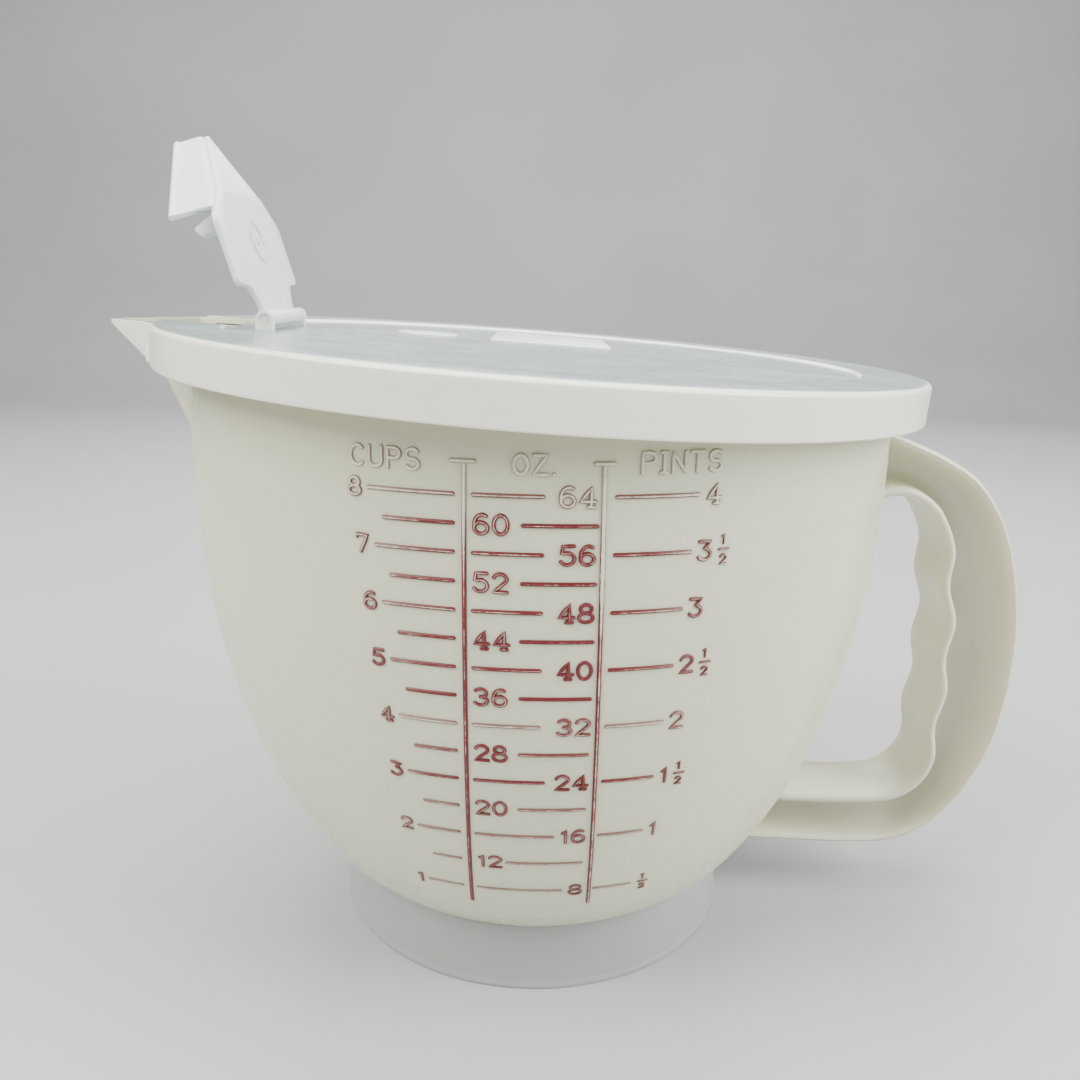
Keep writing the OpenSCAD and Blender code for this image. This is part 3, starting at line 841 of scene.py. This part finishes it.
def nose_section(run):
    """The nose skirt: a thin wall with a bead along its lower edge."""
    top, foot = under_point(run), PLATE_LOW - NOSE_DROP
    return [(1.3, top + 1.1), (0.55, top + 0.55), (0.12, top - 0.05), (0.0, top - 0.7),
            (0.0, foot + 1.6), (-0.14, foot + 1.25), (-0.34, foot + 1.0), (-0.42, foot + 0.65),
            (-0.34, foot + 0.3), (-0.12, foot + 0.06), (0.2, foot), (NOSE_WALL - 0.25, foot),
            (NOSE_WALL, foot + 0.25), (NOSE_WALL, top - 0.2), (NOSE_WALL + 0.9, top + 0.3)]


# Lower edge of the plug as (run, height): a tooth at the back, then level to the point.
PLUG_KEYS = ((PLUG_BACK, -8.3), (PLUG_BACK + 2.1, -10.75), (PLUG_BACK + 5.5, PLUG_SHALLOW),
             (TIP_RUN, PLUG_SHALLOW))


def plug_section(run):
    """The plug's wall: deep near its back corners, shallow towards its point."""
    low = PLUG_SHALLOW
    for (r0, h0), (r1, h1) in zip(PLUG_KEYS, PLUG_KEYS[1:]):
        if run <= r1:
            low = lerp(h0, h1, max(0.0, run - r0) / (r1 - r0))
            break
    top = under_point(run) + 0.3
    return [(0.0, top), (0.0, low + 0.1), (0.1, low), (PLUG_WALL - 0.1, low),
            (PLUG_WALL, low + 0.1), (PLUG_WALL, top)]


def build_cap():
    build_plate()
    nose = wedge_wall("cap_nose_part", TIP_RUN, NOSE_BACK, nose_section, 1.5)
    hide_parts("cap_nose")
    plug = wedge_wall("cap_plug_part", PLUG_BACK + PLUG_LONG, PLUG_BACK, plug_section, 1.2)
    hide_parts("cap_plug")


# ---------------------------------------------------------------- graduations
def arc_pts(cx, cy, rx, ry, a0, a1, n=10):
    """Points along an arc of an oval, from one angle to another in degrees."""
    return [(cx + rx * math.cos(math.radians(lerp(a0, a1, k / n))),
             cy + ry * math.sin(math.radians(lerp(a0, a1, k / n)))) for k in range(n + 1)]


# Each glyph is a list of strokes in a box 1 tall; the second item is its width. "3f" is the
# flat-topped 3.
GLYPHS = {
    "0": ([arc_pts(.31, .5, .29, .5, 90, 450, 24)], .62),
    "1": ([[(.10, .80), (.26, 1.0), (.26, 0.0)]], .36),
    "2": ([arc_pts(.31, .72, .28, .28, 165, -30, 10) + [(.02, .0), (.60, .0)]], .62),
    "3": ([arc_pts(.29, .75, .26, .25, 150, -90, 9), arc_pts(.29, .26, .30, .26, 90, -150, 10)], .62),
    "3f": ([[(.04, 1.0), (.56, 1.0), (.26, .60)] + arc_pts(.28, .30, .30, .30, 80, -150, 10)], .62),
    "4": ([[(.46, 0.0), (.46, 1.0), (.02, .28), (.64, .28)], [(.34, 0.0), (.58, 0.0)]], .66),
    "5": ([[(.56, 1.0), (.10, 1.0), (.06, .56)] + arc_pts(.29, .32, .30, .32, 120, -150, 12)], .62),
    "6": ([arc_pts(.31, .30, .28, .30, 0, 360, 20),
           [(.03, .32)] + arc_pts(.36, .50, .33, .50, 170, 62, 8)], .62),
    "7": ([[(.02, .86), (.04, 1.0), (.60, 1.0), (.24, .0)]], .62),
    "8": ([arc_pts(.31, .76, .24, .24, -90, 270, 18), arc_pts(.31, .26, .30, .26, 90, 450, 20)], .62),
    "C": ([arc_pts(.34, .5, .32, .5, 48, 312, 18)], .66),
    "U": ([[(.03, 1.0), (.03, .30)] + arc_pts(.31, .30, .28, .30, 180, 360, 10) + [(.59, 1.0)]], .62),
    "P": ([[(.05, 0.0), (.05, 1.0), (.32, 1.0)] + arc_pts(.34, .74, .25, .26, 90, -90, 8)
           + [(.05, .48)]], .62),
    "S": ([arc_pts(.31, .74, .26, .26, 30, 260, 10) + arc_pts(.31, .26, .27, .26, 80, -150, 10)], .62),
    "O": ([arc_pts(.31, .5, .29, .5, 90, 450, 24)], .62),
    "Z": ([[(.04, 1.0), (.58, 1.0), (.02, 0.0), (.60, 0.0)]], .62),
    "I": ([[(.14, 1.0), (.14, 0.0)], [(.02, 0.0), (.26, 0.0)], [(.02, 1.0), (.26, 1.0)]], .28),
    "N": ([[(.04, 0.0), (.04, 1.0), (.58, 0.0), (.58, 1.0)]], .62),
    "T": ([[(.31, 0.0), (.31, 1.0)], [(.03, 1.0), (.59, 1.0)]], .62),
    ".": ([[(.05, .02), (.07, .02)]], .12),
}


class Strokes:
    """Collects raised strokes laid on the bowl, then makes one mesh of them."""

    def __init__(self):
        self.verts, self.faces, self.uvs, self.ink = [], [], [], []
        self.row = None

    def line(self, pts, width, height=0.36, level=None, row=None):
        """A rounded ridge along (s, z) points: s along the bowl from the scale's middle, z up."""
        self.row = row
        dense = [pts[0]]
        for (s0, z0), (s1, z1) in zip(pts, pts[1:]):
            n = max(1, int(math.hypot(s1 - s0, z1 - z0) / 0.9))
            dense += [(lerp(s0, s1, k / n), lerp(z0, z1, k / n)) for k in range(1, n + 1)]
        pts = dense
        closed = math.hypot(pts[0][0] - pts[-1][0], pts[0][1] - pts[-1][1]) < 0.05 and len(pts) > 6
        if closed:
            pts = pts[:-1]
        n = len(pts)
        half = width / 2
        prof = [(-1.0, -0.35), (-0.86, 0.45), (-0.55, 0.85), (0.0, 1.0),
                (0.55, 0.85), (0.86, 0.45), (1.0, -0.35)]
        base = len(self.verts)
        for i, (s, z) in enumerate(pts):
            a = pts[(i - 1) % n] if closed or i else pts[0]
            b = pts[(i + 1) % n] if closed or i < n - 1 else pts[-1]
            ds, dz = b[0] - a[0], b[1] - a[1]
            long = math.hypot(ds, dz) or 1.0
            ns, nz = -dz / long, ds / long
            for u, h in prof:
                self.put(s + ns * u * half, z + nz * u * half, h * height, u, s, z, level)
        k = len(prof)
        spans = n if closed else n - 1
        for i in range(spans):
            j = (i + 1) % n
            for m in range(k - 1):
                self.faces.append((base + i * k + m, base + i * k + m + 1,
                                   base + j * k + m + 1, base + j * k + m))
            self.faces.append((base + i * k + k - 1, base + i * k, base + j * k, base + j * k + k - 1))
        if not closed:
            self.cap_end(pts, 0, base, k, prof, half, height, level)
            self.cap_end(pts, n - 1, base + (n - 1) * k, k, prof, half, height, level)

    def put(self, s, z, h, u, s_ref, z_ref, level):
        """One vertex of a ridge: h above the bowl, u across it, inked as its middle point is."""
        r = oval(z) + h
        a = s / oval(z_ref)
        self.verts.append((r * math.sin(a), -r * math.cos(a), z))
        self.uvs.append((0.5 + 0.5 * u, 0.0))
        cover, crest = level or ink_level(s_ref, z_ref)
        if self.row is not None:
            cover, crest = row_ink("line", self.row, s_ref)
        self.ink.append((cover, crest, 0.0, 1.0))

    def cap_end(self, pts, i, start, k, prof, half, height, level):
        """Rounds off one end of an open ridge with a fan of half rings."""
        j = 1 if i == 0 else len(pts) - 2
        s, z = pts[i]
        ds, dz = s - pts[j][0], z - pts[j][1]
        long = math.hypot(ds, dz) or 1.0
        ds, dz = ds / long, dz / long
        sign = 1 if i else -1
        ns, nz = -dz * sign, ds * sign
        prev = [start + m for m in range(k)]
        for f in (0.5, 0.8, 0.95):
            shrink = math.sqrt(1 - f * f)
            ring = []
            for u, h in prof:
                ring.append(len(self.verts))
                low = h if h < 0 else h * shrink
                self.put(s + ds * f * half + ns * u * half * shrink,
                         z + dz * f * half + nz * u * half * shrink, low * height,
                         (abs(u) + (1 - abs(u)) * f) * (1 if u >= 0 else -1), s, z, level)
            for m in range(k - 1):
                self.faces.append((prev[m], prev[m + 1], ring[m + 1], ring[m]))
            self.faces.append((prev[-1], prev[0], ring[0], ring[-1]))
            prev = ring
        self.faces.append(tuple(prev))

    def row_line(self, row, start, end, z, width):
        """A graduation line on a row, in short spans so that its ink can fade along it."""
        spans = 5
        cuts = [lerp(start, end, k / spans) for k in range(spans + 1)]
        self.line([(s, z) for s in cuts], width, row=row)

    def text(self, glyphs, s, z, tall, width, align="left", level=None):
        """A word of glyphs; z is the middle of its height."""
        total = sum(GLYPHS[g][1] for g in glyphs) + LETTER_GAP * (len(glyphs) - 1)
        at = s if align == "left" else s - total * tall
        for g in glyphs:
            strokes, wide = GLYPHS[g]
            inset = width / 2
            for st in strokes:
                pts = [(at + x * tall, z - tall / 2 + inset + y * (tall - width)) for x, y in st]
                self.line(pts, width, level=level)
            at += (wide + LETTER_GAP) * tall

    def build(self, name, *nodes):
        ob = mesh_object(name, self.verts, self.faces, 60)
        me = ob.data
        uv = me.uv_layers.new(name="across")
        col = me.color_attributes.new("ink", "FLOAT_COLOR", "POINT")
        loops = np.zeros(len(me.loops), np.int32)
        me.loops.foreach_get("vertex_index", loops)
        uvs = np.array(self.uvs, np.float32)[loops]
        uv.data.foreach_set("uv", uvs.reshape(-1))
        col.data.foreach_set("color", np.array(self.ink, np.float32).reshape(-1))
        return dress(ob, "bowl", "ink", scale_ink, *nodes)


# Ink left on each row of the scale, from 8 ounces up: its cover, and how far the crest is worn.
LINE_INK = ((.78, .20), (.84, .16), (.88, .16), (.90, .14), (1.0, .05), (.97, .08), (.88, .28),
            (1.0, -.14), (1.0, .05), (1.0, -.04), (1.0, .12), (1.0, .0), (1.0, .08), (1.0, .04),
            (.92, .28))
TEXT_INK = ((.95, .0), (.95, .0), (.95, .05), (.97, .05), (1.0, -.05), (1.0, -.02), (.97, .08),
            (1.0, .05), (1.0, -.08), (1.0, .05), (1.0, .0), (1.0, .10), (1.0, .12), (1.0, .14),
            (.85, .32))
HEAD_INK = (.55, .60)


def row_ink(kind, row, s):
    """Ink of a line or number on a row; it fades towards both ends of the scale."""
    cover, crest = (TEXT_INK if kind == "text" else LINE_INK)[row]
    far = ease((abs(s) - 19) / 12)
    return cover * (1 - 0.12 * far), min(0.7, crest - 0.05 + 0.16 * far)


def ink_level(s, z):
    """Ink left on the rules: dark in the middle, hollow towards the top."""
    top = ease((z - 108) / 12) if s < 0 else ease((z - 96) / 14)
    return 1.0 - 0.35 * ease((z - 116) / 14), -0.05 + 0.50 * top + (0.16 if s > 0 else 0.0)


def line_z(i):
    """Height of a graduation line, counted up from 8 ounces in steps of 4."""
    return 37.1 + 13.95 * ((i + 0.93) ** 0.738 - 0.93 ** 0.738)


def numeral(n):
    """The glyph of a whole number of cups or pints."""
    return "3f" if n == 3 else str(n)


def build_rules():
    """The two upright rules with a short bar over each."""
    rules = Strokes()
    zs = [RULE_LOW + (RULE_TOP - RULE_LOW) * k / 90 for k in range(91)]
    rules.line([(RULE_LEFT, z) for z in zs], RULE_WIDE)
    rules.line([(lerp(RULE_RIGHT_LOW, RULE_RIGHT_TOP, (z - RULE_LOW) / 100.0), z) for z in zs], RULE_WIDE)
    rules.line([(-15.4, RULE_BAR_Z), (-11.3, RULE_BAR_Z)], LINE_WIDE)
    rules.line([(9.4, RULE_BAR_Z), (12.6, RULE_BAR_Z)], LINE_WIDE)
    rules.build("rule_marks", "scale_rules")


def build_cups():
    """Left column: a long line and a number on each cup, a shorter line on each half."""
    cups = Strokes()
    for i in range(ROWS):
        whole = i % 2 == 0
        long = 15.9 - 0.6 * (14 - i) if whole else 13 - 0.6 * (13 - i)
        z = line_z(i)
        cups.row_line(i, -15 - long, -15.1, z, LINE_WIDE)
        if whole:
            cups.text([numeral(i // 2 + 1)], -16.6 - long, z, CUP_TALL, DIGIT_WIDE, "right",
                      row_ink("text", i, -24))
    cups.text(list("CUPS"), -34.4, 132.0, HEAD_TALL, DIGIT_WIDE, level=(.66, .54))
    cups.build("cup_scale", "cup_marks")


def build_ounces():
    """Middle column: line then number on whole cups, number then line on the halves."""
    ounces = Strokes()
    for i in range(ROWS):
        whole = i % 2 == 0
        low = -11.5 if whole else -2.8 - max(0, 2 - i) * 2.4
        high = 0.6 + max(0, 5 - i) * 1.1 if whole else 10
        z = line_z(i)
        ounces.row_line(i, low, high, z, LINE_WIDE)
        word = list(str(8 + 4 * i))
        ink = row_ink("text", i, 0)
        if whole:
            ounces.text(word, 9.7 + 0.06 * (14 - i), z, DIGIT_TALL, DIGIT_WIDE, "right", ink)
        else:
            ounces.text(word, -11.4, z, DIGIT_TALL, DIGIT_WIDE, level=ink)
    ounces.text(["O", "Z", "."], -4.6, 131.9, 4.1, DIGIT_WIDE, level=HEAD_INK)
    ounces.build("ounce_scale", "ounce_marks")


def build_pints():
    """Right column: a line on each half pint, with its whole number and its half."""
    pints = Strokes()
    for i in range(0, ROWS, 2):
        end = 21.4 + 0.5 * i
        z = line_z(i)
        pints.row_line(i, 13.4, end, z, LINE_WIDE)
        halves = i // 2 + 1
        at = end + 1.7
        ink = row_ink("text", i, 24)
        if halves > 1:
            glyph = numeral(halves // 2)
            pints.text([glyph], at, z, DIGIT_TALL, DIGIT_WIDE, level=ink)
            at += (GLYPHS[glyph][1] + 0.28) * DIGIT_TALL
        if halves % 2:
            pints.text(["1"], at + 0.75, z + 1.95, HALF_TALL, SMALL_WIDE, level=ink)
            pints.line([(at + 0.4, z), (at + 2.5, z)], SMALL_WIDE, level=ink)
            pints.text(["2"], at + 0.7, z - 1.9, HALF_TALL, SMALL_WIDE, level=ink)
    pints.text(list("PINTS"), 17.4, 132.3, HEAD_TALL, DIGIT_WIDE, level=HEAD_INK)
    pints.build("pint_scale", "pint_marks")


def finish_cad_node(name, material, width):
    """Gives a CAD node that stays in view its material and a fine bevel, width in mm."""
    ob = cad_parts[name]
    ob.data.materials.clear()
    ob.data.materials.append(material)
    edge_bevel(ob, width, 40)


# ---------------------------------------------------------------- build everything
build_bowl()
build_foot()
build_handle()
build_lid()
build_pads()
build_cap()
build_rules()
build_cups()
build_ounces()
build_pints()
finish_cad_node("hinge_lug_left", lid_plastic_painted_top_shade, 0.3)
finish_cad_node("hinge_lug_right", lid_plastic_painted_top_shade, 0.3)
finish_cad_node("cap_ring", cap_plastic, 0.1)
finish_cad_node("hinge_pin", cap_plastic, 0.3)


# ---------------------------------------------------------------- floor, light and camera
def build_stage():
    """A pale floor that curves up into a back wall. Its own sizes are in metres."""
    m, nt, bsdf = new_material("floor_paint")
    tone = mix(nt, remap(nt, noise(nt, 5, 3, 0.5), 0.3, 0.7, 0, 1), (0.41, 0.41, 0.41), (0.45, 0.45, 0.45))
    nt.links.new(tone, bsdf.inputs["Base Color"])
    bsdf.inputs["Roughness"].default_value = 0.6
    size, back, rise, turn = 3.0, 1.4, 2.4, 0.35
    prof = [(-size, 0.0), (back - turn, 0.0)]
    prof += [(back - turn + turn * math.sin(a), turn - turn * math.cos(a))
             for a in (math.radians(90 * k / 16) for k in range(1, 17))]
    prof.append((back, rise))
    verts, faces = [], []
    for y, z in prof:
        verts += [(-size / MM, y / MM, z / MM), (size / MM, y / MM, z / MM)]
    for k in range(len(prof) - 1):
        faces.append((2 * k, 2 * k + 1, 2 * k + 3, 2 * k + 2))
    ob = mesh_object("studio_floor", verts, faces, 60)
    ob.data.materials.append(m)


def area_light(name, place, target, size, power, tint=(1, 1, 1)):
    """A soft rectangular light; place, target and size in metres, power in watts."""
    data = bpy.data.lights.new(name, "AREA")
    data.shape = "RECTANGLE"
    data.size, data.size_y = size
    data.energy = power
    data.color = tint
    ob = bpy.data.objects.new(name, data)
    bpy.context.scene.collection.objects.link(ob)
    ob.location = place
    ob.rotation_euler = (Vector(target) - Vector(place)).to_track_quat("-Z", "Y").to_euler()


build_stage()
MIDDLE = (0.0, 0.0, 0.09)
area_light("key", (-0.75, -0.45, 0.95), MIDDLE, (0.8, 0.8), 25, (1.0, 0.99, 0.96))
area_light("fill", (0.95, -0.35, 0.70), MIDDLE, (0.6, 0.9), 25, (0.98, 0.99, 1.0))
area_light("overhead", (0.0, 0.10, 1.1), MIDDLE, (0.9, 0.9), 17)
area_light("back", (0.1, 0.9, 0.7), MIDDLE, (1.0, 0.5), 7)

world = bpy.data.worlds.new("studio")
world.use_nodes = True
world.node_tree.nodes["Background"].inputs["Color"].default_value = (0.92, 0.95, 1.0, 1)
world.node_tree.nodes["Background"].inputs["Strength"].default_value = 0.24
bpy.context.scene.world = world

CAMERA_PLACE = (0.0, -0.24558, 0.16080)
pitch, yaw, roll = math.radians(16.359), math.radians(0.104), math.radians(1.167)
cam_data = bpy.data.cameras.new("camera")
cam_data.sensor_width = 36.0
cam_data.lens = 32.31
cam_data.shift_y = 0.0292
cam_data.clip_start = 0.01
cam = bpy.data.objects.new("camera", cam_data)
bpy.context.scene.collection.objects.link(cam)
cam.matrix_world = (
    Matrix.Translation(CAMERA_PLACE)
    @ Matrix.Rotation(-yaw, 4, "Z")
    @ Matrix.Rotation(math.radians(90) - pitch, 4, "X")
    @ Matrix.Rotation(roll, 4, "Z")
)
bpy.context.scene.camera = cam
